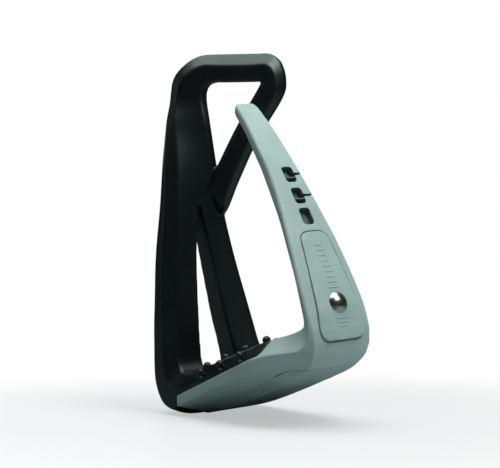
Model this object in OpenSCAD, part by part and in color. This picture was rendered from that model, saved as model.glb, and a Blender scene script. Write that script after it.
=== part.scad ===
// Safety stirrup for the rider's right foot.
// A black overmoulded frame (leather eye, A-shaped inner branch, tread tray)
// carries a grey elastomer sole whose outer arm flexes outwards round a spring blade.
// Frame: origin at the middle of the leather bar's underside, +Z up, +X away from
// the horse, +Y towards the toe. The foot frame is tilted in it and starts where the
// inner branch meets the tread.

/* [Leather eye] */
// Height of the leather bar, underside to top
bar_h = 16.3; // [14:0.1:18]
// Thickness of the eye loop
eye_t = 12; // [11:0.5:13]
// Heading of the leather bar, from outwards towards the toe
eye_heading = 45; // [40:1:50]

/* [Frame] */
// Sideways tilt of the tread, outer end up
tread_roll = 19.5; // [15:0.5:22]
// Lengthwise tilt of the tread, toe end up
tread_pitch = 4; // [2:0.5:6]
// Width of the tread along the foot
tread_depth = 72; // [70:1:74]
// Thickness of the tread tray at its edge
tray_t = 11; // [10.5:0.5:12]
// Leg thickness at the foot of the inner branch
leg_t = 17; // [15:0.5:18]

/* [Grip] */
// Ball diameter of a grip stud
stud_d = 4.6; // [4.4:0.1:4.8]
// Distance between studs in a row
stud_pitch = 20; // [18:0.5:21]

/* [Arm] */
// Width of the cover plate at its foot
plate_w = 30; // [26:1:31]
// Diameter of the polished rivet cap
rivet_d = 11.6; // [9:0.2:13]
// Thickness of the spring blade
blade_t = 1.2; // [0.8:0.1:1.6]
// How far the arm opens outwards, degrees
open_angle = 35; // [20:1:40]

/* [Hidden] */

black = "#161b1c";
pad_black = "#2c3334";
grey = "#a3b7b5";
plate_grey = "#98b0ab";
steel = "#b9bcbd";
dark_steel = "#3a3f41";
brass = "#c2a35a";

foot_at = [-10, -6, -168.4];
half_depth = tread_depth / 2;
crest = 29;            // half width of the tread's flat top
edge_wide = 7;         // bevel along the tread's front and back edges
edge_deep = 7.9;
edge_turn_x = 80;      // where the bevels turn inwards, and by how much
edge_turn = 18.6;
tray_start = 8;        // the tray starts inside the heel of the frame
tray_inset = 0.02;     // the tray's sides lie a hair inside the heel's
tray_end = 93;         // the tray's rounded outer end
gap = 0.1;             // clearance between pieces that only meet
fit = 0.05;            // radial clearance of a fitted shank
smooth_steps = 5;      // loft rings between two stations
band_steps = 8;        // the same, along the black frame
top_fall = 0.04;       // slope of the tread's flat top towards its outer end
insert_hole_r = 3.1;   // holes for the inserts, locating pins, screws and rivet
locator_hole_r = 2.1;
screw_hole_r = 2.2;
rivet_hole_r = 2.65;
plate_gap = 0.35;      // visible seam round the cover plate

module foot() {
  translate(foot_at) rotate([0, -tread_roll, 0]) rotate([tread_pitch, 0, 0]) children();
}

// ---- lofting -------------------------------------------------------------
// A station is a ring of eight points. Catmull-Rom rings fill in between stations.
function at(list, k) = list[max(0, min(len(list) - 1, k))];
function spline(list, k, t) =
  let (p = at(list, k - 1), q = at(list, k), r = at(list, k + 1), s = at(list, k + 2))
  0.5 * (2 * q + (r - p) * t + (2 * p - 5 * q + 4 * r - s) * t * t
    + (3 * q - p - 3 * r + s) * t * t * t);
function resample(list, steps = smooth_steps) = [
  for (k = [0:len(list) - 2]) for (i = [0:steps - 1]) spline(list, k, i / steps),
  list[len(list) - 1]
];
function reversed(p) = [for (i = [len(p) - 1:-1:0]) p[i]];
function unit(v) = v / norm(v);
// Ring from the middle f of its inner face, unit direction in through the thickness th,
// unit width direction w, half width h, left and right bevels of the inner face
// [wide, deep], and back bevel [wide, deep]
function ring(f, in, w, th, h, left, right, back) = [
  f - (h - left[0]) * w, f - h * w + left[1] * in,
  f - h * w + (th - back[1]) * in, f - (h - back[0]) * w + th * in,
  f + (h - back[0]) * w + th * in, f + h * w + (th - back[1]) * in,
  f + h * w + right[1] * in, f + (h - right[0]) * w
];
module loft(rings) {
  n = len(rings[0]);
  m = len(rings);
  sides = [
    for (k = [0:m - 2]) for (i = [0:n - 1])
      [k * n + i, (k + 1) * n + i, (k + 1) * n + (i + 1) % n, k * n + (i + 1) % n]
  ];
  first = [for (i = [0:n - 1]) i];
  last = [for (i = [0:n - 1]) (m - 1) * n + n - 1 - i];
  polyhedron([for (r = rings) for (p = r) p], concat([first, last], sides), convexity = 8);
}
// Ring in the foot frame: inner x, z, outer x, z, half width, bevel wide, deep,
// back bevel wide, deep
function strip_ring(s) =
  let (a = [s[0], 0, s[1]], d = [s[2] - s[0], 0, s[3] - s[1]])
  ring(a, unit(d), [0, 1, 0], norm(d), s[4], [s[5], s[6]], [s[5], s[6]], [s[7], s[8]]);
module strip(stations) {
  loft(resample([for (s = stations) strip_ring(s)]));
}

// ---- inner branch, eye and tread tray --------------------------------------
foot_x = [cos(tread_roll), 0, sin(tread_roll)];
foot_y = [
  -sin(tread_roll) * sin(tread_pitch), cos(tread_pitch), cos(tread_roll) * sin(tread_pitch)
];
foot_z = [
  -sin(tread_roll) * cos(tread_pitch), -sin(tread_pitch), cos(tread_roll) * cos(tread_pitch)
];
function from_foot(p) = foot_at + p[0] * foot_x + p[1] * foot_y + p[2] * foot_z;
// Corner of the frame, in the foot frame, from under the tread round the heel and up
corner_line = [
  [12, top_z(12), 12, -25, half_depth, 7, 7.9, 22, 8.6],
  [9.6, top_z(9), 4, -23.4, half_depth, 7, 8, 20, 6.8],
  [7.6, 0, -6.6, -20.4, half_depth, 7, 8.6, 10, 4],
  [5.2, 1.2, -14.6, -13.4, half_depth, 7, 9, 5, 3],
  [3.4, 3.8, -17.8, -4.4, half_depth, 7, 7.4, 4, 3],
  [3.2, 9, -16.8, 6.2, half_depth, 7, 5.8, 3, 3]
];
function corner_ring(s) = [for (p = strip_ring(s)) from_foot(p)];
// Branch stations: x, y of the face's middle, height z, turn, thickness, half width,
// left bevel, right bevel
branch_line = [
  [-10, -8.4, -152, 0, leg_t, 34, 7, 6],
  [-10, -11.3, -140, 0, leg_t - 0.4, 31.4, 7, 4],
  [-10, -13.9, -127, 0, leg_t - 1, 28.8, 7, 3],
  [-10, -18.6, -100, 1, 14.8, 24, 7, 3],
  [-10.1, -22, -72, 4, 13, 18.9, 7, 3],
  [-11.2, -24.6, -45, 16, eye_t + 0.4, 15.2, 6, 3],
  [-14.1, -25.9, -25, 34, eye_t, 12.9, 5, 2.6]
];
function branch_ring(s) =
  let (w = [sin(s[3]), cos(s[3]), 0], in = [-cos(s[3]), sin(s[3]), 0])
  ring([s[0], s[1], s[2]], in, w, s[4], s[5], [s[6], s[6] * 0.75], [s[7], s[7]], [2, 2]);
// Eye stations in the loop's plane: inner edge a, z, outer edge a, z, outer bevel wide,
// deep, inner bevel wide, deep, set-back towards the branch
eye_line = [
  [-19.4, -11, -40.8, -12, 5, 4, 2, 2, 0],
  [-19.2, -5, -38.8, 2, 5.6, 4.4, 1.6, 1.6, 0],
  [-17.2, -1.4, -32, 10.6, 6.4, 5, 1.2, 1.2, 0],
  [-13.5, 0, -23, 15.6, 7, 5.4, 1, 1, 0],
  [-9, 0, -13, bar_h, 7.2, 5.4, 1, 1, 0],
  [0, 0, 0, bar_h, 7.2, 5.4, 1, 1, 0],
  [8.5, 0, 11, bar_h, 7.2, 5.4, 1, 1, 0],
  [12.4, 0, 18.6, 16, 7, 5.4, 1, 1, 0],
  [13.6, -0.2, 24.8, 11.2, 6.4, 5, 1.4, 1.4, 0],
  [13.4, -1.4, 27.6, 1, 5, 4.4, 2, 2, 0],
  [11.4, -4.8, 25.6, -9.4, 4, 4, 2.4, 2.8, 0],
  [-1.4, -27, 11.2, -33.2, 3, 3, 2.5, 3, 0],
  [-12.2, -48.6, 0.2, -56.6, 3, 3, 2.5, 3, 0],
  [-18.2, -60, -6.8, -73.4, 3, 3, 2.5, 3, -1],
  [-20.5, -64, -10.7, -77, 3, 3, 2.5, 3, -5]
];
eye_along = [cos(eye_heading), sin(eye_heading), 0];
eye_face = [sin(eye_heading), -cos(eye_heading), 0];
function eye_ring(s) =
  let (
    inner = s[0] * eye_along + [0, 0, s[1]],
    outer = s[2] * eye_along + [0, 0, s[3]],
    f = (inner + outer) / 2 + (eye_t / 2 + s[8]) * eye_face
  )
  ring(f, -eye_face, unit(inner - outer), eye_t, norm(inner - outer) / 2,
    [s[4], s[5]], [s[6], s[7]], [2, 2]);
band = resample(concat(
  [for (s = corner_line) corner_ring(s)],
  [for (s = branch_line) branch_ring(s)],
  [for (s = eye_line) eye_ring(s)]
), band_steps);
// The band is lofted in two lengths that meet at the middle of the leather bar,
// because the diagonal runs back into the branch
bar_middle = (len(corner_line) + len(branch_line) + 5) * band_steps;
module frame_band() {
  loft([for (k = [bar_middle:-1:0]) band[k]]);
  loft([for (k = [len(band) - 1:-1:bar_middle]) band[k]]);
}
// The elastomer starts at a slanting joint under the heel
sole_start = [3, -1];
heel_drop = 23;        // depth under the tread where the joint ends
module sole_side() {
  run = 3;             // the joint line runs on below the sole by this factor
  top = [sole_start[0] - gap, -tray_t];
  low = top + run * [sole_start[1] - sole_start[0], tray_t - heel_drop];
  rotate([90, 0, 0]) linear_extrude(120, center = true)
    polygon([top, low, [150, low[1]], [150, -tray_t]]);
}
// Height of the tread's flat top, and half width of the sole, along the tread
function top_z(x) = -0.7 - x * top_fall;
function half_w(x) =
  let (t = max(0, min(1, (x - 78) / 37))) half_depth - 15 * t * t * (3 - 2 * t);
// Plan of the tray: straight sides and a half-oval outer end
tray_round = 78;
module tray_plan(grow) {
  hull() {
    translate([-30, -half_depth - 1]) square([tray_round + 30, 2 * half_depth + 2]);
    translate([tray_round, 0]) scale([(tray_end - tray_round + grow) / (half_depth + 1), 1])
      circle(r = half_depth + 1, $fn = 72);
  }
}
// A long wedge that cuts one bevel of the tread's edge, from x on, turned inwards by turn
module edge_wedge(x, turn) {
  translate([x, crest, 0]) rotate([0, 0, turn]) rotate([90, 0, 90]) linear_extrude(120)
    polygon([
      [-edge_wide, edge_deep], [2 * edge_wide, -2 * edge_deep],
      [5 * edge_wide, -2 * edge_deep], [5 * edge_wide, edge_deep]
    ]);
}
module tray() {
  difference() {
    intersection() {
      translate([tray_start, -half_depth + tray_inset, -tray_t - 1])
        cube([tray_end, 2 * (half_depth - tray_inset), tray_t + 1]);
      translate([0, 0, -2 * tray_t]) linear_extrude(3 * tray_t) tray_plan(0);
    }
    on_top() translate([-10, -50, 0]) cube([140, 100, 20]);
    on_top() for (side = [0, 1]) mirror([0, side, 0]) {
      edge_wedge(-10, 0);
      edge_wedge(edge_turn_x, -edge_turn);
    }
  }
}
// Triangular window between the two legs of the branch
module window() {
  intersection() {
    translate([-60, 0, 0]) rotate([90, 0, 90]) linear_extrude(80)
      polygon([
        [-20.8, -71], [-19.8, -71], [-10.7, -105], [-2.6, -136], [5, -160], [9, -178],
        [-18, -178], [-19, -160], [-21, -130], [-22, -100]
      ]);
    foot() translate([-80, -60, 1]) cube([160, 120, 140]);
  }
}

// A-shaped steel plate inside the branch
module branch_core() {
  color(dark_steel) translate([-20.5, 0, 0]) rotate([90, 0, 90]) linear_extrude(4)
    polygon([
      [-29, -58], [-34.5, -110], [-35, -168], [-27, -168], [-28, -110], [-25.4, -66],
      [-17, -66], [-5, -110], [11.5, -164], [17.5, -164], [-1, -104], [-13, -58]
    ]);
}
// Steel plate inside the tread, drilled for the inserts and pins
module tread_plate() {
  translate([-8, -24, -9.6]) cube([84, 48, 2]);
}
module tread_core() {
  color(dark_steel) foot() difference() {
    tread_plate();
    insert_places() translate([0, 0, -20]) cylinder(h = 20, r = insert_hole_r, $fn = 32);
    pin_places() translate([0, 0, -20]) cylinder(h = 20, r = locator_hole_r, $fn = 32);
  }
}
// Steel strip inside the eye loop
module eye_core() {
  color(dark_steel) rotate([0, 0, eye_heading]) rotate([90, 0, 0]) translate([0, 0, -2])
    linear_extrude(4) polygon([
      [-31.5, -22], [-32, -8], [-28, 4], [-19, 9], [17, 9], [22, 6], [23, 0],
      [22.2, -6.2], [-5.8, -57.2], [-10.2, -54.8],
      [17.8, -3.8], [18, 0], [16, 4], [-20, 4], [-26, -6], [-26.5, -22]
    ]);
}
// Round holes left in the back by the tool pins that held the cores in the mould
pin_hole_r = 1.2;
module core_pin_holes() {
  for (p = [[-31.5, -110], [7, -135]]) translate([-40, p[0], p[1]]) rotate([0, 90, 0])
    cylinder(h = 21, r = pin_hole_r, $fn = 24);
  rotate([0, 0, eye_heading]) rotate([90, 0, 0]) for (a = [-14, 12])
    translate([a, 6.5, -12]) cylinder(h = 11, r = pin_hole_r, $fn = 24);
}
module overmould_body() {
  difference() {
    union() {
      frame_band();
      foot() tray();
    }
    foot() sole_side();
    window();
  }
}
module frame_overmould() {
  color(black) difference() {
    overmould_body();
    branch_core();
    eye_core();
    core_pin_holes();
    foot() tread_plate();
    foot() {
      pad_seat();
      tread_rows() stud_hole();
      edge_rows() stud_hole();
      insert_places() translate([0, 0, -tray_t - 1])
        cylinder(h = insert_h + 1.2, r = insert_hole_r, $fn = 32);
      pin_places() translate([0, 0, -tray_t - 1])
        cylinder(h = 5, r = locator_hole_r, $fn = 32);
    }
  }
}

// ---- grip pad and studs --------------------------------------------------------
pad_t = 1.8;
pad_x0 = 12;
pad_x1 = 86;
pad_half = 25;
module pad_outline(grow) {
  hull() for (x = [pad_x0 + 6, pad_x1 - 10]) for (y = [-1, 1])
    translate([x, y * (pad_half - 6)]) circle(r = 6 + grow, $fn = 48);
}
// The pad lies in the sloping plane of the tread's flat top
module on_top() {
  translate([0, 0, top_z(0)]) rotate([0, atan(top_fall), 0]) children();
}
module pad_seat() {
  on_top() translate([0, 0, -pad_t + 0.4]) linear_extrude(8) pad_outline(gap);
}
module grip_pad() {
  color(pad_black) foot() difference() {
    on_top() translate([0, 0, -pad_t + 0.4]) linear_extrude(pad_t) pad_outline(0);
    // Cross grooves between the studs
    on_top() for (x = [pad_x0 + 5:stud_pitch / 2:pad_x1 - 6])
      translate([x - 0.6, -crest, -0.1]) cube([1.2, 2 * crest, 3]);
    tread_rows() stud_hole();
  }
}
// Rows: distance from the middle, first stud, number of studs
rows = [[-22, 20, 4], [-8, 30, 3], [8, 30, 3], [22, 20, 4]];
edge_first = 29;
edge_y = crest + 3.6;
module tread_rows() {
  for (r = rows) for (i = [0:r[2] - 1]) let (x = r[1] + i * stud_pitch)
    translate([x, r[0], top_z(x)]) children();
}
// Studs on the two bevels lean outwards by 45 degrees
module edge_rows() {
  for (side = [-1, 1]) for (i = [0:2]) let (x = edge_first + i * stud_pitch)
    translate([x, side * edge_y, top_z(x) - 4]) rotate([-45 * side, 0, 0]) children();
}
stud_len = 3.4;
module stud_hole() {
  translate([0, 0, -stud_len - 0.1]) cylinder(h = stud_len + 4, r = 1.3, $fn = 24);
  translate([0, 0, -2.6]) cylinder(h = 2, r = 2.3, $fn = 24);
  translate([0, 0, -0.8]) cylinder(h = 4, r = stud_d / 2 + gap, $fn = 24);
}
module stud() {
  translate([0, 0, stud_d * 0.35]) sphere(d = stud_d, $fn = 32);
  translate([0, 0, -stud_len]) cylinder(h = stud_len + 1, r = 1.2, $fn = 24);
}
module tread_studs() {
  color(dark_steel) foot() tread_rows() stud();
}
module edge_studs() {
  color(dark_steel) foot() edge_rows() stud();
}
// Pressed collars that hold each stud's shank in the moulding
module stud_collar() {
  translate([0, 0, -2.5]) difference() {
    cylinder(h = 1.5, r = 2.2, $fn = 24);
    translate([0, 0, -1]) cylinder(h = 4, r = 1.2 + fit, $fn = 24);
  }
}
module stud_collars() {
  color(steel) foot() {
    tread_rows() stud_collar();
    edge_rows() stud_collar();
  }
}

// ---- elastomer sole and arm -----------------------------------------------------
// Arm's outer face and thickness along its height above the tread
arm_line = [
  // z, outer x, thickness, outer half width, inner half width
  [4, 116.9, 11.6, 20, 13.8],
  [14, 116.2, 10.8, 19.3, 13.2],
  [26, 115.2, 10, 18, 12.4],
  [42, 113.4, 9, 16.1, 11.8],
  [58, 110.9, 8.2, 13.7, 10.6],
  [73, 108, 7.6, 11.8, 10],
  [87, 104.7, 7.1, 10.3, 9.2],
  [101, 100, 6.6, 9.4, 8.2],
  [115, 95.2, 6.1, 8.4, 7.2],
  [124, 91.4, 5.8, 7.8, 6.9],
  [129.4, 88.8, 5.4, 7.3, 6.4],
  [131.8, 87.6, 4.4, 5.9, 5.1]
];
function arm_lean(z) = z < 10 ? 0 : min(26, (z - 10) * 0.26);
function arm_station(s) =
  let (
    lean = arm_lean(s[0]), th = s[2], ix = s[1] - th * cos(lean), iz = s[0] - th * sin(lean)
  )
  [ix, iz, s[1], s[0], s[3], s[3] - s[4], th - 2.2, 1, 1];
sole_line = [
  [sole_start[0], -tray_t, sole_start[1], -heel_drop, half_depth, 0.3, 0.3, 20, 6.6],
  [14, -tray_t, 14, -25.2, half_depth, 0.3, 0.3, 22, 8.6],
  [30, -tray_t, 30, -26.6, half_depth, 0.3, 0.3, 22, 9.8],
  [50, -tray_t, 50, -27.3, half_depth, 0.3, 0.3, 22, 10.4],
  [66, -tray_t, 66, -27.6, half_depth, 0.3, 0.3, 22, 10.6],
  [74, -tray_t + 1, 74, -27.6, half_depth, 1, 1, 22, 10.8],
  [78, -6.6, 78, -27.6, half_w(78), 5, 5, 21, 12],
  [82, top_z(82), 82.5, -27.4, half_w(82), 7, 7.7, 20, 13.2],
  [90, top_z(90), 92, -27.2, half_w(90), 7, 8.4, 16, 13.4],
  [97, -4.7, 101, -26, half_w(97) - 0.5, 7, 10, 11, 11.2],
  [102, -4.6, 108.4, -22.6, 24.8, 6.6, 11.8, 6.6, 6.6],
  [104.8, -3.4, 113, -17.4, 22, 6.4, 11.6, 3.6, 4],
  [105.4, -0.6, 116, -10.4, 20.7, 6.2, 11.4, 1.8, 2],
  [105.3, 2.4, 116.8, -3, 20.2, 6.2, 10.9, 1.2, 1.2]
];
module elastomer_body() {
  strip(concat(sole_line, [for (s = arm_line) arm_station(s)]));
}
// Arm's outer x at height z
function arm_x(z, k = 0) =
  k >= len(arm_line) - 2 || z <= arm_line[k + 1][0]
    ? let (a = arm_line[k], b = arm_line[k + 1])
      a[1] + (b[1] - a[1]) * (z - a[0]) / (b[0] - a[0])
    : arm_x(z, k + 1);
function arm_mid(z) = arm_x(z) - 4.8;
pivot_z = 75;
pivot = [arm_x(pivot_z) - 3.6, 0, pivot_z - 0.9];
pivot_lean = 15;
knuckle_r = 3.2;

// The moving half is everything beyond the pivot plane, plus a round knuckle
module tip_region() {
  translate(pivot) rotate([0, -pivot_lean, 0]) translate([-40, -40, 0.15]) cube([80, 80, 90]);
  translate(pivot) rotate([90, 0, 0]) cylinder(h = 80, r = knuckle_r, center = true, $fn = 48);
}
module base_cut() {
  translate(pivot) rotate([0, -pivot_lean, 0]) translate([-40, -40, -0.15]) cube([80, 80, 90]);
  translate(pivot) rotate([90, 0, 0])
    cylinder(h = 80, r = knuckle_r + 0.35, center = true, $fn = 48);
  translate(pivot) rotate([0, open_angle + 3 - pivot_lean, 0]) translate([0, -40, 0])
    cube([60, 80, 90]);
}

// Pockets in the outer face, with a thin rib across the upper two and a slit to the
// front edge
pocket_z = [55.8, 68.4, 81.8];
module pocket(z, crossed) {
  x = arm_x(z);
  lean = atan((arm_x(z - 5) - arm_x(z + 5)) / 10);
  translate([x, 1.9, z]) rotate([0, -lean, 0]) {
    difference() {
      hull() for (y = [-1, 1]) for (v = [-1, 1])
        translate([-3.6, y * 1.6, v * 3]) rotate([0, 90, 0]) cylinder(h = 8, r = 2, $fn = 32);
      if (crossed) translate([-6, -5, -1.9]) cube([5.4, 10, 0.8]);
    }
    if (crossed) translate([-3.4, 0, -0.6]) cube([8, 14, 1.3]);
  }
}
module pockets() {
  pocket(pocket_z[0], false);
  pocket(pocket_z[1], true);
  pocket(pocket_z[2], true);
}

// Blade: flat under the tread, round the outer corner, then up the middle of the arm
blade_bend = 13;
blade_x = 104.6 + blade_bend / 2;
function blade_path() = concat(
  [[36, -12.6], [blade_x - blade_bend, -12.6]],
  [for (a = [-75:15:0]) [blade_x - blade_bend, -12.6 + blade_bend] + blade_bend * [cos(a), sin(a)]],
  [for (z = [10, 20, 30, 40, 48, 56, 62, 69.4]) [arm_mid(z) + max(0, (20 - z) * 0.05), z]]
);
function tip_path() = [for (z = [77.5, 84, 92, 100, 108, 116, 121]) [arm_mid(z) + 1, z - 1.2]];
function offset_path(p, d) = [
  for (i = [0:len(p) - 1])
    let (a = p[max(0, i - 1)], b = p[min(len(p) - 1, i + 1)], t = (b - a) / norm(b - a))
    p[i] + d * [-t[1], t[0]]
];
module blade(path) {
  intersection() {
    rotate([90, 0, 0]) linear_extrude(60, center = true)
      polygon(concat(offset_path(path, blade_t / 2), reversed(offset_path(path, -blade_t / 2))));
    union() {
      translate([20, -11, -20]) cube([110, 22, 60]);
      rotate([90, 0, 90]) linear_extrude(130)
        polygon([[-11, 39], [11, 39], [4.4, 118], [2.4, 121.6], [-2.4, 121.6], [-4.4, 118]]);
    }
  }
}
// Screws clamp the blade and the bar under it to the tray
screw_x = [44, 60, 76];
insert_h = 4.6;
module insert_places() {
  for (x = screw_x) translate([x, 0, 0]) children();
}
module pin_places() {
  for (x = [52, 68]) for (y = [-1, 1]) translate([x, y * 15, 0]) children();
}
bar_top = -12.6 - blade_t / 2 - gap;
module clamp_bar() {
  color(steel) foot() difference() {
    hull() for (x = [40, 80]) translate([x, 0, bar_top - 2]) cylinder(h = 2, r = 7, $fn = 48);
    insert_places() translate([0, 0, -30]) cylinder(h = 30, r = screw_hole_r, $fn = 32);
  }
}
module blade_screws() {
  color(steel) foot() insert_places() difference() {
    union() {
      translate([0, 0, bar_top - 2 - gap - 2.4]) cylinder(h = 2.4, r = 3.8, $fn = 48);
      translate([0, 0, bar_top - 3]) cylinder(h = insert_h - tray_t - bar_top + 2.5, r = 2, $fn = 32);
    }
    translate([0, 0, bar_top - 6]) cylinder(h = 2.6, r = 1.6, $fn = 6);
  }
}
module threaded_inserts() {
  color(brass) foot() insert_places() translate([0, 0, -tray_t]) difference() {
    cylinder(h = insert_h, r = 3, $fn = 32);
    translate([0, 0, -1]) cylinder(h = insert_h + 0.6, r = 2 + fit, $fn = 32);
  }
}
module locating_pins() {
  color(steel) foot() pin_places() translate([0, 0, -tray_t - 5])
    cylinder(h = 8.6, r = 1.95, $fn = 32);
}
module spring_blade_base() {
  color(steel) foot() difference() {
    blade(blade_path());
    insert_places() translate([0, 0, -30]) cylinder(h = 30, r = screw_hole_r, $fn = 32);
    rivet_place() translate([0, 0, -30]) cylinder(h = 60, r = 2.8, $fn = 32);
  }
}
module spring_blade_tip() {
  color(steel) foot() blade(tip_path());
}

// Inset panel under the sole
panel_top = -22.4;
module panel_outline(grow) {
  start = 15 - grow;
  half = 22 + grow;
  polygon([
    [start, -half + 2], [50, -half], [84, -half - 1], [92, -half + 1], [101 + grow, -17],
    [101 + grow, 17], [92, half - 1], [84, half + 1], [50, half], [start, half - 2]
  ]);
}
module sole_panel() {
  color(plate_grey) foot() intersection() {
    elastomer_body();
    translate([0, 0, -40]) linear_extrude(40 + panel_top) panel_outline(0);
  }
}
module clip_places() {
  for (x = [28, 90]) for (y = [-1, 1]) translate([x, y * 8, 0]) children();
}
// Barbed clips that hold the panel
module panel_clips() {
  color(plate_grey) foot() clip_places() {
    translate([0, 0, panel_top]) cylinder(h = 5, r = 1.6, $fn = 32);
    translate([0, 0, panel_top + 4]) cylinder(h = 1.4, r = 2.4, $fn = 32);
  }
}
module sole_hollows() {
  blade_room();
  hull() for (x = [40, 80])
    translate([x, 0, bar_top - 2.1]) cylinder(h = 2.1 + gap, r = 7.2, $fn = 48);
  translate([0, 0, -40]) linear_extrude(40 + panel_top) panel_outline(0.1);
  // Service well above the panel for the screw heads
  hull() for (x = [43, 77]) translate([x, 0, panel_top - 1]) cylinder(h = 8.2, r = 5.2, $fn = 48);
  insert_places() translate([0, 0, -tray_t - 2]) cylinder(h = 3, r = 2.1, $fn = 32);
  pin_places() translate([0, 0, -tray_t - 5.1]) cylinder(h = 6, r = locator_hole_r, $fn = 32);
  clip_places() {
    translate([0, 0, panel_top - 1]) cylinder(h = 6, r = 1.75, $fn = 32);
    translate([0, 0, panel_top + 3.9]) cylinder(h = 1.7, r = 2.6, $fn = 32);
  }
}
module blade_room() {
  intersection() {
    rotate([90, 0, 0]) linear_extrude(60, center = true)
      polygon(concat(
        offset_path(blade_path(), blade_t / 2 + gap),
        reversed(offset_path(blade_path(), -blade_t / 2 - gap))
      ));
    union() {
      translate([20, -11.1, -20]) cube([110, 22.2, 60]);
      rotate([90, 0, 90]) linear_extrude(130)
        polygon([[-11.1, 39], [11.1, 39], [4.5, 118], [-4.5, 118]]);
    }
  }
}

// Cover plate set into the arm's outer face
plate_t = 2;
plate_z = [-14.6, 46.4];
module plate_outline(grow) {
  r = 6 + grow;
  hull() {
    for (y = [-1, 1]) translate([1 + y * (plate_w / 2 - 6), plate_z[0] + 6]) circle(r = r, $fn = 32);
    for (y = [-1, 1]) translate([1.4 + y * 3.4, plate_z[1] - 6]) circle(r = r, $fn = 32);
  }
}
function skin_x(z) =
  z > 4 ? arm_x(z) : 116.9 - 0.0095 * pow(4 - z, 2) * (z > -8 ? 0.75 : 0.6);
function skin_line(d) = [for (z = [-24:3:57]) [skin_x(z) + d, z]];
// How far the plate's face stands out of the arm: more towards its foot
function plate_stand(z) = 0.3 + 0.9 * max(0, min(1, (30 - z) / 44));
module plate_band(low, high) {
  rotate([90, 0, 0]) linear_extrude(60, center = true)
    polygon(concat(high, reversed(skin_line(low))));
}
module cover_plate() {
  color(plate_grey) foot() difference() {
    intersection() {
      plate_band(-plate_t, [for (p = skin_line(0)) p + [plate_stand(p[1]), 0]]);
      rotate([90, 0, 90]) linear_extrude(140) plate_outline(0);
    }
    rivet_place() translate([0, 0, -30]) cylinder(h = 60, r = rivet_hole_r, $fn = 32);
  }
}
module plate_seat() {
  intersection() {
    plate_band(-plate_t - gap, skin_line(9));
    rotate([90, 0, 90]) linear_extrude(140) plate_outline(plate_gap);
  }
}

// Polished rivet through plate, arm and blade. Its axis points out of the arm.
rivet_at = [skin_x(5), 1.8, 5];
module rivet_place() {
  translate(rivet_at) rotate([0, 90, 0]) children();
}
module rivet_cap() {
  cap_h = 2.6;
  ball = (pow(rivet_d / 2, 2) + cap_h * cap_h) / (2 * cap_h);
  seat = plate_stand(rivet_at[2]) + 0.2;
  color("silver") foot() rivet_place() {
    intersection() {
      translate([0, 0, seat + cap_h - ball]) sphere(r = ball, $fn = 96);
      translate([0, 0, seat]) cylinder(h = cap_h + 1, d = rivet_d, $fn = 64);
    }
    translate([0, 0, -8.2]) cylinder(h = 8.3 + seat, r = 2.5, $fn = 32);
  }
}
module rivet_sleeve() {
  color(steel) foot() rivet_place() difference() {
    union() {
      translate([0, 0, -12.4]) cylinder(h = 1.2, r = 5, $fn = 48);
      translate([0, 0, -11.4]) cylinder(h = 4.6, r = 3.6, $fn = 48);
    }
    translate([0, 0, -8.4]) cylinder(h = 4, r = 2.5 + fit, $fn = 32);
  }
}
module rivet_washer() {
  color(steel) foot() rivet_place() translate([0, 0, -3.6]) difference() {
    cylinder(h = 1, r = 5.4, $fn = 48);
    translate([0, 0, -1]) cylinder(h = 3, r = 2.7, $fn = 32);
  }
}
module rivet_room() {
  rivet_place() {
    translate([0, 0, -20]) cylinder(h = 9, r = 5.15, $fn = 48);
    translate([0, 0, -11.5]) cylinder(h = 4.9, r = 3.75, $fn = 48);
    translate([0, 0, -20]) cylinder(h = 30, r = rivet_hole_r, $fn = 48);
    translate([0, 0, -3.7]) cylinder(h = 6, r = 5.55, $fn = 48);
  }
}
module elastomer_sole() {
  color(grey) foot() difference() {
    elastomer_body();
    translate([0, 0, -tray_t]) linear_extrude(20) tray_plan(gap / 2);
    base_cut();
    pockets();
    sole_hollows();
    plate_seat();
    rivet_room();
  }
}
module elastomer_arm() {
  color(grey) foot() difference() {
    intersection() {
      elastomer_body();
      tip_region();
    }
    pockets();
    intersection() {
      rotate([90, 0, 0]) linear_extrude(60, center = true)
        polygon(concat(
          offset_path(tip_path(), blade_t / 2 + gap),
          reversed(offset_path(tip_path(), -blade_t / 2 - gap))
        ));
      rotate([90, 0, 90]) linear_extrude(130)
        polygon([[-11.1, 39], [11.1, 39], [4.6, 118], [2.6, 122], [-2.6, 122], [-4.6, 118]]);
    }
  }
}

frame_overmould();
branch_core();
tread_core();
eye_core();
grip_pad();
tread_studs();
edge_studs();
stud_collars();
elastomer_sole();
sole_panel();
panel_clips();
blade_screws();
threaded_inserts();
clamp_bar();
spring_blade_base();
spring_blade_tip();
elastomer_arm();
cover_plate();
rivet_cap();
rivet_sleeve();
rivet_washer();
locating_pins();
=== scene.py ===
"""Looks of the safety stirrup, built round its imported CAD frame. Units are metres."""
import math

import bmesh
import bpy
from mathutils import Matrix, Vector
from mathutils.bvhtree import BVHTree


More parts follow.
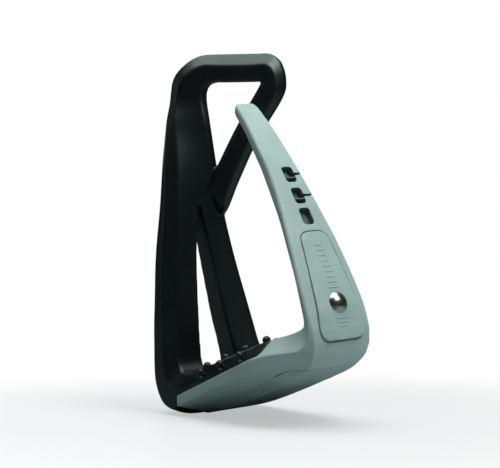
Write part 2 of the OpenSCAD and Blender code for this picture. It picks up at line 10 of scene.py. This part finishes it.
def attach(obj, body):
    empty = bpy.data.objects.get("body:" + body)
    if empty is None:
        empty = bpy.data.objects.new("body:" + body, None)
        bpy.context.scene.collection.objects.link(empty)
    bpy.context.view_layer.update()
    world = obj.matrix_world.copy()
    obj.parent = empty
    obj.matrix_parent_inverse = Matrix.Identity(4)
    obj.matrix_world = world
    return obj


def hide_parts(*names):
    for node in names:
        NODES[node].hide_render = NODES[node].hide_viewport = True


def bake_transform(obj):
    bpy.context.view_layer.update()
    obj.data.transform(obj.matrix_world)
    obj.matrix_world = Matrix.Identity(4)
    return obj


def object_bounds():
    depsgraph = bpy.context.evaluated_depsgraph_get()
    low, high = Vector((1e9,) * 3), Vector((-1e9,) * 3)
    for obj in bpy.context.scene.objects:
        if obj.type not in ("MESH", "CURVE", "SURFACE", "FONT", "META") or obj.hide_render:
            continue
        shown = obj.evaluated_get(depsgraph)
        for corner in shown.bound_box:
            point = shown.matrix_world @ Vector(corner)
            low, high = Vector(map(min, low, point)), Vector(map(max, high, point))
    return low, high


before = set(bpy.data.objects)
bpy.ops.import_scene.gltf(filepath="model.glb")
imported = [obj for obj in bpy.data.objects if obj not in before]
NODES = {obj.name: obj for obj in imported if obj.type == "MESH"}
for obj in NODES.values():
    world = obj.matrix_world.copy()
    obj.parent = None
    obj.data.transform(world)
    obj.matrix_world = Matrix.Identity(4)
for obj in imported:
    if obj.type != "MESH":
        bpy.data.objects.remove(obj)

MM = 0.001
cad_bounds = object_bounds()
scene = bpy.context.scene

# The tread's own frame: it rises outwards by the roll and towards the toe by the pitch
TREAD_ROLL = math.radians(19.5)
TREAD_PITCH = math.radians(4)
FOOT = (
    Matrix.Translation(Vector((-10, -6, -168.4)) * MM)
    @ Matrix.Rotation(-TREAD_ROLL, 4, "Y")
    @ Matrix.Rotation(TREAD_PITCH, 4, "X")
)
FOOT_X = FOOT.to_3x3() @ Vector((1, 0, 0))


def in_foot(x, y, z):
    """A point of the tread's frame, given in millimetres."""
    return FOOT @ (Vector((x, y, z)) * MM)


# ---- materials ---------------------------------------------------------------
def srgb(red, green, blue):
    """Linear colour of an 8-bit screen colour."""
    def linear(value):
        value /= 255
        return value / 12.92 if value <= 0.04045 else ((value + 0.055) / 1.055) ** 2.4
    return (linear(red), linear(green), linear(blue), 1)


def node(tree, kind, **inputs):
    """A new node with these input values."""
    made = tree.nodes.new(kind)
    for name, value in inputs.items():
        made.inputs[name.replace("_", " ")].default_value = value
    return made


def noise(tree, place, scale, detail=4.0, roughness=0.55):
    """Even cloudy noise over the places of a surface."""
    made = node(tree, "ShaderNodeTexNoise", Scale=scale, Detail=detail, Roughness=roughness)
    tree.links.new(place, made.inputs["Vector"])
    return made.outputs["Fac"]


def ramp(tree, value, low, high, first, last):
    """Maps value between low and high to a number between first and last."""
    made = tree.nodes.new("ShaderNodeMapRange")
    made.interpolation_type = "SMOOTHSTEP"
    numbers = {"From Min": low, "From Max": high, "To Min": first, "To Max": last}
    for name, number in numbers.items():
        made.inputs[name].default_value = number
    tree.links.new(value, made.inputs["Value"])
    return made.outputs["Result"]


def mixed(tree, share, first, second):
    """Colour between two, each a colour or another node's output."""
    made = tree.nodes.new("ShaderNodeMix")
    made.data_type = "RGBA"
    tree.links.new(share, made.inputs[0])
    for socket, value in ((made.inputs[6], first), (made.inputs[7], second)):
        if isinstance(value, tuple):
            socket.default_value = value
        else:
            tree.links.new(value, socket)
    return made.outputs[2]


PATCH_BAND = (0.35, 0.65)       # noise values over which one colour gives way to the other
SPECKLE_BAND = (0.3, 0.75)      # noise values over which the grain darkens the colour
SPECKLE_SHARE = 0.35            # most that it darkens it
SPECKLE_DARK = 0.72
SHEEN_BAND = (0.25, 0.75)       # noise values over which the grain turns from smooth to rough
SMOOTHER, ROUGHER = 0.05, 0.06
BUMP_STRENGTH = 0.6
EDGE_LIGHTENING_BAND = (0.53, 0.6)         # how sharply an edge bends where its lighter edge colour starts and is full
EDGE_LIGHTENING_SHARE = 0.5


def finish_material(name, colour, tone, rough, grain, depth, metallic=0.0, specular=0.5,
                    edge_wear_and_highlight=None, mottle=90, brushed=None):
    """A moulded or metal finish: two close colours in soft patches, grain as bump, and
    bent edges lightened towards the edge colour, as wear and as a painted highlight."""
    made = bpy.data.materials.new(name)
    made.use_nodes = True
    tree = made.node_tree
    shader = tree.nodes["Principled BSDF"]
    shader.inputs["Metallic"].default_value = metallic
    shader.inputs["Specular IOR Level"].default_value = specular
    place = tree.nodes.new("ShaderNodeTexCoord").outputs["Object"]
    if brushed:
        stretch = tree.nodes.new("ShaderNodeMapping")
        stretch.inputs["Scale"].default_value = brushed
        tree.links.new(place, stretch.inputs["Vector"])
        place = stretch.outputs["Vector"]
    patches = ramp(tree, noise(tree, place, mottle), *PATCH_BAND, 0, 1)
    shade = mixed(tree, patches, colour, tone)
    fine = noise(tree, place, grain, 3.0, 0.6)
    speckle = ramp(tree, fine, *SPECKLE_BAND, 0, SPECKLE_SHARE)
    shade = mixed(tree, speckle, shade, tuple(SPECKLE_DARK * c for c in colour[:3]) + (1,))
    # Bent edges lighten towards the edge colour: wear, and a painted highlight along bevels
    if edge_wear_and_highlight:
        bent = tree.nodes.new("ShaderNodeNewGeometry").outputs["Pointiness"]
        edge = ramp(tree, bent, *EDGE_LIGHTENING_BAND, 0, EDGE_LIGHTENING_SHARE)
        shade = mixed(tree, edge, shade, edge_wear_and_highlight)
    tree.links.new(shade, shader.inputs["Base Color"])
    uneven = ramp(tree, fine, *SHEEN_BAND, rough - SMOOTHER, rough + ROUGHER)
    tree.links.new(uneven, shader.inputs["Roughness"])
    bump = node(tree, "ShaderNodeBump", Strength=BUMP_STRENGTH, Distance=depth)
    tree.links.new(fine, bump.inputs["Height"])
    tree.links.new(bump.outputs["Normal"], shader.inputs["Normal"])
    return made


BLACK = finish_material(
    "black_moulding", srgb(6, 8, 8), srgb(9, 11, 12), 0.35, 1500, 0.04 * MM,
    specular=0.56, edge_wear_and_highlight=srgb(22, 26, 27))
PAD = finish_material(
    "pad_rubber", srgb(44, 51, 53), srgb(36, 43, 45), 0.72, 1100, 0.12 * MM, specular=0.3)
STUD = finish_material(
    "stud_rubber", srgb(20, 24, 25), srgb(28, 32, 33), 0.3, 2200, 0.02 * MM)
ELASTOMER = finish_material(
    "grey_elastomer", srgb(169, 175, 172), srgb(160, 167, 164), 0.5, 1300, 0.04 * MM,
    specular=0.35, edge_wear_and_highlight=srgb(182, 188, 185), mottle=45)
# Darker copy of the grey elastomer: painted shade on the walls and floors of the pockets and
# along the seams
PAINTED_SHADE = finish_material(
    "pocket_painted_shade", srgb(96, 108, 106), srgb(84, 96, 94), 0.75, 1300, 0.04 * MM, specular=0.2)
PANEL = finish_material(
    "sole_panel_rubber", srgb(162, 169, 166), srgb(152, 160, 157), 0.6, 1000, 0.07 * MM,
    specular=0.3, mottle=60)
# Its lighter edge colour is a painted highlight along the plate's bevels
PLATE = finish_material(
    "plate_plastic", srgb(166, 175, 171), srgb(159, 168, 164), 0.4, 1700, 0.03 * MM,
    specular=0.45, edge_wear_and_highlight=srgb(205, 212, 208), mottle=60)
POLISHED = finish_material(
    "polished_steel", srgb(176, 171, 160), srgb(158, 152, 141), 0.24, 900, 0.002 * MM,
    metallic=1.0)
CORE = finish_material(
    "core_steel", srgb(96, 100, 104), srgb(78, 82, 86), 0.5, 1400, 0.03 * MM, metallic=1.0)
ZINC = finish_material(
    "zinc_plated_steel", srgb(186, 190, 194), srgb(160, 166, 172), 0.32, 700, 0.01 * MM,
    metallic=1.0)
BRASS = finish_material(
    "insert_brass", srgb(196, 164, 92), srgb(170, 138, 72), 0.3, 900, 0.01 * MM,
    metallic=1.0)
SPRING = finish_material(
    "spring_steel", srgb(150, 156, 164), srgb(128, 132, 138), 0.28, 500, 0.01 * MM, metallic=1.0,
    brushed=(1, 14, 1))

NODE_LOOKS = {
    BLACK: ["frame_overmould"],
    PAD: ["grip_pad"],
    STUD: ["tread_studs", "edge_studs"],
    ELASTOMER: ["elastomer_sole", "elastomer_arm"],
    PANEL: ["sole_panel", "panel_clips"],
    PLATE: ["cover_plate"],
    POLISHED: ["rivet_cap"],
    CORE: ["branch_core", "tread_core", "eye_core"],
    ZINC: [
        "stud_collars", "blade_screws", "clamp_bar", "rivet_sleeve", "rivet_washer",
        "locating_pins"],
    BRASS: ["threaded_inserts"],
    SPRING: ["spring_blade_base", "spring_blade_tip"],
}
for look, names in NODE_LOOKS.items():
    for name in names:
        for material_slot in NODES[name].material_slots:
            material_slot.material = look


# ---- mesh tools ----------------------------------------------------------------
def soften(obj, voxel, passes):
    """Modifiers that round a piece's edges: a fine remesh, then smoothing."""
    remesh = obj.modifiers.new("fine_skin", "REMESH")
    remesh.mode = "VOXEL"
    remesh.voxel_size = voxel * MM
    remesh.use_smooth_shade = True
    smooth = obj.modifiers.new("round_edges", "SMOOTH")
    smooth.factor = 0.5
    smooth.iterations = passes


def built(name, parts, look):
    """A new object with the mesh that a bmesh holds, in one material."""
    mesh = bpy.data.meshes.new(name)
    parts.to_mesh(mesh)
    parts.free()
    mesh.materials.append(look)
    obj = bpy.data.objects.new(name, mesh)
    scene.collection.objects.link(obj)
    return obj


def apply_modifiers(obj):
    """Puts what the modifiers make into the piece's own mesh."""
    bpy.context.view_layer.update()
    depsgraph = bpy.context.evaluated_depsgraph_get()
    mesh = bpy.data.meshes.new_from_object(obj.evaluated_get(depsgraph))
    obj.modifiers.clear()
    obj.data = mesh


def shade_smooth(obj):
    obj.data.polygons.foreach_set("use_smooth", [True] * len(obj.data.polygons))


def surface_tree(obj):
    """Search tree over an object's faces."""
    return BVHTree.FromPolygons(
        [obj.matrix_world @ v.co for v in obj.data.vertices],
        [tuple(p.vertices) for p in obj.data.polygons])


def seat_matrix(middle, out, across, up):
    """Places a shape drawn in millimetres: its x runs out, y across and z up."""
    seat = Matrix((out, across, up)).transposed().to_4x4()
    seat.translation = middle
    return seat @ Matrix.Scale(MM, 4)


def prism(target, outline, low, high, matrix):
    """Adds a closed prism to a bmesh: outline points are (y, z) and it runs along x."""
    first, last = (
        [target.verts.new(matrix @ Vector((x, y, z))) for y, z in outline] for x in (low, high))
    count = len(outline)
    target.faces.new(list(reversed(first)))
    target.faces.new(last)
    for i in range(count):
        j = (i + 1) % count
        target.faces.new((first[i], first[j], last[j], last[i]))


def rounded(half, low, high, low_radius, high_radius, steps=6):
    """Outline in (y, z), anticlockwise seen from +x, with its own radius at each end."""
    points = []
    for cy, cz, r, start in (
        (half - low_radius, low + low_radius, low_radius, -90),
        (half - high_radius, high - high_radius, high_radius, 0),
        (-half + high_radius, high - high_radius, high_radius, 90),
        (-half + low_radius, low + low_radius, low_radius, 180),
    ):
        for k in range(steps + 1):
            angle = math.radians(start + 90 * k / steps)
            points.append((cy + r * math.cos(angle), cz + r * math.sin(angle)))
    return points


# ---- black frame, grip pad and sole panel ---------------------------------------
soften(NODES["frame_overmould"], 0.5, 30)
soften(NODES["grip_pad"], 0.35, 2)
soften(NODES["sole_panel"], 0.5, 3)
soften(NODES["cover_plate"], 0.26, 2)

# ---- elastomer sole and arm, joined into one moulding across the hinge gap at the upper pockets ---
# Millimetres: heights over the tread, and depths in from the arm's outer face
ARM_FILL = ((60, 77), (71, 90))     # the hinge gap is closed between these heights
ARM_INSIDE = 80                     # the arm lies beyond this distance along the tread
ARM_CLEAR = 160                     # well outside the arm, where rays towards it start
POCKETS = ((55.8, False), (68.4, True), (81.8, True))     # height, with a bar across or not
POCKET_Y = 1.9
POCKET_DEPTH = 3.9
POCKET_HALF = 3.6                   # half the width of a pocket that has a bar
POCKET_TALL = 5                     # half its height
POCKET_ROUND = 2
PLAIN_EXTRA = 0.05                  # how much larger the pocket without a bar is, all round
BAR_SPAN = (-1.9, -1.1)             # heights of the bar from the middle of its pocket
BAR_DEPTH = 0.5                     # how far in the bar lies
BAR_CORNER = 0.5
SLIT = [(0, -1.0), (5.5, -0.7), (14, -0.2), (14, 0.7), (5.5, 0.8), (0, 1.6)]
SLIT_DEPTH = 3
CUT_PAST = 4                        # the cutters stand out of the face by this much
SLOPE_REACH = 8                     # the arm's slope at a pocket is read this far up and down


def arm_surface(tree, y, z):
    """Point and normal on the arm's outer face at a height over the tread."""
    return tree.ray_cast(in_foot(ARM_CLEAR, y, z), -FOOT_X)[:2]


elastomer_skin = bmesh.new()
for name in ("elastomer_sole", "elastomer_arm"):
    elastomer_skin.from_mesh(NODES[name].data)
to_foot = FOOT.inverted()
places = [(to_foot @ v.co) / MM for v in elastomer_skin.verts]
for low, high in ARM_FILL:
    hull = bmesh.new()
    for place in places:
        if low < place.z < high and place.x > ARM_INSIDE:
            hull.verts.new(FOOT @ (place * MM))
    bmesh.ops.convex_hull(hull, input=hull.verts)
    loose = [v for v in hull.verts if not v.link_faces]
    bmesh.ops.delete(hull, geom=loose, context="VERTS")
    filler = bpy.data.meshes.new("filler")
    hull.to_mesh(filler)
    hull.free()
    elastomer_skin.from_mesh(filler)
    bpy.data.meshes.remove(filler)
elastomer = built("elastomer_moulding", elastomer_skin, ELASTOMER)
soften(elastomer, 0.42, 8)
apply_modifiers(elastomer)

skin_tree = surface_tree(elastomer)
across = (FOOT.to_3x3() @ Vector((0, 1, 0))).normalized()
pocket_parts = bmesh.new()
for height, crossed in POCKETS:
    above = arm_surface(skin_tree, POCKET_Y, height + SLOPE_REACH)[0]
    below = arm_surface(skin_tree, POCKET_Y, height - SLOPE_REACH)[0]
    up = (above - below).normalized()
    out = across.cross(up).normalized()
    seat = seat_matrix((above + below) / 2, out, across, up)
    if crossed:
        upper = rounded(POCKET_HALF, BAR_SPAN[1], POCKET_TALL, BAR_CORNER, POCKET_ROUND)
        lower = rounded(POCKET_HALF, -POCKET_TALL, BAR_SPAN[0], POCKET_ROUND, BAR_CORNER)
        whole = rounded(POCKET_HALF, -POCKET_TALL, POCKET_TALL, POCKET_ROUND, POCKET_ROUND)
        cuts = (
            (upper, POCKET_DEPTH), (lower, POCKET_DEPTH), (whole, BAR_DEPTH), (SLIT, SLIT_DEPTH))
    else:
        tall = POCKET_TALL + PLAIN_EXTRA
        plain = rounded(POCKET_HALF + PLAIN_EXTRA, -tall, tall, POCKET_ROUND, POCKET_ROUND)
        cuts = ((plain, POCKET_DEPTH),)
    for outline, depth in cuts:
        prism(pocket_parts, outline, -depth, CUT_PAST, seat)
cutter = built("pocket_cutter", pocket_parts, PAINTED_SHADE)
soften(cutter, 0.16, 3)
apply_modifiers(cutter)
cut = elastomer.modifiers.new("pockets", "BOOLEAN")
cut.operation = "DIFFERENCE"
cut.solver = "MANIFOLD"
# The cut faces take the cutter's darker copy, which is painted shade inside the pockets
cut.material_mode = "TRANSFER"
cut.object = cutter
apply_modifiers(elastomer)
bpy.data.objects.remove(cutter)
shade_smooth(elastomer)
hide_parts("elastomer_sole", "elastomer_arm")
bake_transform(elastomer)

# Faces along the seams round the cover plate and the sole panel take the darker pocket colour:
# painted shade for the shadow in the gaps
SEAM_REACH = 0.45 * MM
PANEL_TOP = -15         # all the sole panel lies below this height over the tread
PLATE_TOP = 49          # all the cover plate lies below this one
PLATE_INSIDE = 100      # and beyond this distance along the tread
plate_tree = surface_tree(NODES["cover_plate"])
panel_tree = surface_tree(NODES["sole_panel"])
painted_shade_slot = [m.name for m in elastomer.data.materials].index(PAINTED_SHADE.name)
for polygon in elastomer.data.polygons:
    place = to_foot @ polygon.center / MM
    if place.z < PANEL_TOP:
        near = panel_tree
    elif place.x > PLATE_INSIDE and place.z < PLATE_TOP:
        near = plate_tree
    else:
        continue
    if near.find_nearest(polygon.center, SEAM_REACH)[0]:
        polygon.material_index = painted_shade_slot

# ---- raised ribs on the cover plate -------------------------------------------------
RIB_HIGH = 0.25
RIB_WIDE = 0.7
RIB_CORNER = 0.45 * RIB_WIDE
RIB_BEVEL = 0.1 * MM
# Height over the tread, middle and half length of each rib, above and below the rivet
RIB_ROWS = (
    [(13.6 + 3.1 * i, 2.6 - 0.11 * i, 3.4 - 0.14 * i) for i in range(9)]
    + [(-3.4 - 2.2 * i, 1.6, 4.4 - 0.9 * i) for i in range(3)]
)
rib_parts = bmesh.new()
for height, middle, half in RIB_ROWS:
    ends = [arm_surface(plate_tree, middle + side * half, height)[0] for side in (-1, 1)]
    along = (ends[1] - ends[0]).normalized()
    out = arm_surface(plate_tree, middle, height)[1]
    up = out.cross(along).normalized()
    seat = seat_matrix((ends[0] + ends[1]) / 2, out, along, up)
    rib = rounded(half, -RIB_WIDE / 2, RIB_WIDE / 2, RIB_CORNER, RIB_CORNER)
    prism(rib_parts, rib, -RIB_HIGH, RIB_HIGH, seat)
ribs = built("plate_ribs", rib_parts, PLATE)
round_ribs = ribs.modifiers.new("round_ribs", "BEVEL")
round_ribs.width = RIB_BEVEL
round_ribs.segments = 2
apply_modifiers(ribs)
shade_smooth(ribs)
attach(ribs, "frame")

# ---- floor, lights and camera ----------------------------------------------------
FLOOR_Z = cad_bounds[0].z - 0.2 * MM
FLOOR_HALF = 6
FLOOR_PLACE = (0.04, 0, FLOOR_Z)
FLOOR_SEEN = (0.85, 0.66, 0.68, 1)
FLOOR_BOUNCED = (0.36, 0.42, 0.42, 1)
FLOOR_MIRRORED = (0.12, 0.15, 0.15, 1)
NEAR_GLOW = (0.9, 1, 0.99, 1)
WHITE = (1, 1, 1, 1)
GLOW_FROM, GLOW_FULL = 0.1, 0.32     # distances over which the floor fades to plain white
GLOW_SHARE = 0.5                     # share of glow next to the object


def mix_shaders(tree, share, first, second):
    """The second shader over the first, by a share from another node."""
    made = tree.nodes.new("ShaderNodeMixShader")
    for socket, output in zip(made.inputs, (share, first, second)):
        tree.links.new(output, socket)
    return made.outputs[0]


floor_look = bpy.data.materials.new("floor_white")
floor_look.use_nodes = True
tree = floor_look.node_tree
shader = tree.nodes["Principled BSDF"]
# The floor is white to the eye but throws less light back, and least into the gloss
path = tree.nodes.new("ShaderNodeLightPath")
bounced = mixed(tree, path.outputs["Is Glossy Ray"], FLOOR_BOUNCED, FLOOR_MIRRORED)
tree.links.new(
    mixed(tree, path.outputs["Is Camera Ray"], bounced, FLOOR_SEEN), shader.inputs["Base Color"])
shader.inputs["Roughness"].default_value = 0.45
shader.inputs["Specular IOR Level"].default_value = 0.25
glow = node(tree, "ShaderNodeEmission", Strength=1.0)
distance = tree.nodes.new("ShaderNodeVectorMath")
distance.operation = "LENGTH"
tree.links.new(tree.nodes.new("ShaderNodeTexCoord").outputs["Object"], distance.inputs[0])
fade = ramp(tree, distance.outputs["Value"], GLOW_FROM, GLOW_FULL, GLOW_SHARE, 1)
tree.links.new(mixed(tree, fade, NEAR_GLOW, WHITE), glow.inputs["Color"])
seen = tree.nodes.new("ShaderNodeMath")
seen.operation = "MULTIPLY"
tree.links.new(fade, seen.inputs[0])
tree.links.new(path.outputs["Is Camera Ray"], seen.inputs[1])
tree.links.new(
    mix_shaders(tree, seen.outputs[0], shader.outputs[0], glow.outputs[0]),
    tree.nodes["Material Output"].inputs[0])
floor_parts = bmesh.new()
bmesh.ops.create_grid(floor_parts, x_segments=12, y_segments=12, size=FLOOR_HALF)
floor = built("floor", floor_parts, floor_look)
floor.location = FLOOR_PLACE

MIDDLE = (0.03, 0, -0.08)
COOL = (0.8, 1, 0.99)


def softbox(name, place, aim, size, watts):
    """A square area light of this size, pointed at aim and unseen by the camera."""
    light = bpy.data.lights.new(name, "AREA")
    light.size = size
    light.energy = watts
    light.color = COOL
    obj = bpy.data.objects.new(name, light)
    scene.collection.objects.link(obj)
    obj.location = place
    obj.rotation_euler = (Vector(aim) - Vector(place)).to_track_quat("-Z", "Y").to_euler()
    obj.visible_camera = False


softbox("top_box", (0, -0.05, 0.7), MIDDLE, 0.9, 8.7)
softbox("front_box", (0.64, 0.13, 0.7), MIDDLE, 0.5, 6.8)
softbox("rim_box", (-0.95, 0.3, 0.25), MIDDLE, 0.5, 0.9)
softbox("left_box", (-0.7, -0.9, 0.25), MIDDLE, 0.6, 0.4)
# Light thrown back up by the bright floor on the outer side
softbox("floor_bounce", (0.24, 0.13, FLOOR_Z + 2 * MM), (0.24, 0.13, 1), 0.3, 0.09)

world = bpy.data.worlds.new("studio")
scene.world = world
world.use_nodes = True
tree = world.node_tree
tree.nodes.clear()
white = node(tree, "ShaderNodeBackground", Color=WHITE, Strength=1.0)
dim = node(tree, "ShaderNodeBackground", Color=(0.8, 1, 1, 1), Strength=0.04)
path = tree.nodes.new("ShaderNodeLightPath")
tree.links.new(
    mix_shaders(tree, path.outputs["Is Camera Ray"], dim.outputs[0], white.outputs[0]),
    tree.nodes.new("ShaderNodeOutputWorld").inputs[0])

# The camera looks level, 55 degrees round from the front, at a point below the leather bar
CAMERA_HEADING = math.radians(55)
CAMERA_DISTANCE = 0.9
CAMERA_LENS = 111.5
VIEW_RIGHT = 0.0066
VIEW_DOWN = 0.0884
right = Vector((math.cos(CAMERA_HEADING), math.sin(CAMERA_HEADING), 0))
back = Vector((math.sin(CAMERA_HEADING), -math.cos(CAMERA_HEADING), 0))
camera_data = bpy.data.cameras.new("camera")
camera_data.sensor_width = 36
camera_data.lens = CAMERA_LENS
camera_data.clip_start = 0.01
camera = bpy.data.objects.new("camera", camera_data)
scene.collection.objects.link(camera)
camera.location = right * VIEW_RIGHT + back * CAMERA_DISTANCE - Vector((0, 0, VIEW_DOWN))
camera.rotation_euler = (math.pi / 2, 0, CAMERA_HEADING)
scene.camera = camera
scene.view_settings.view_transform = "Standard"
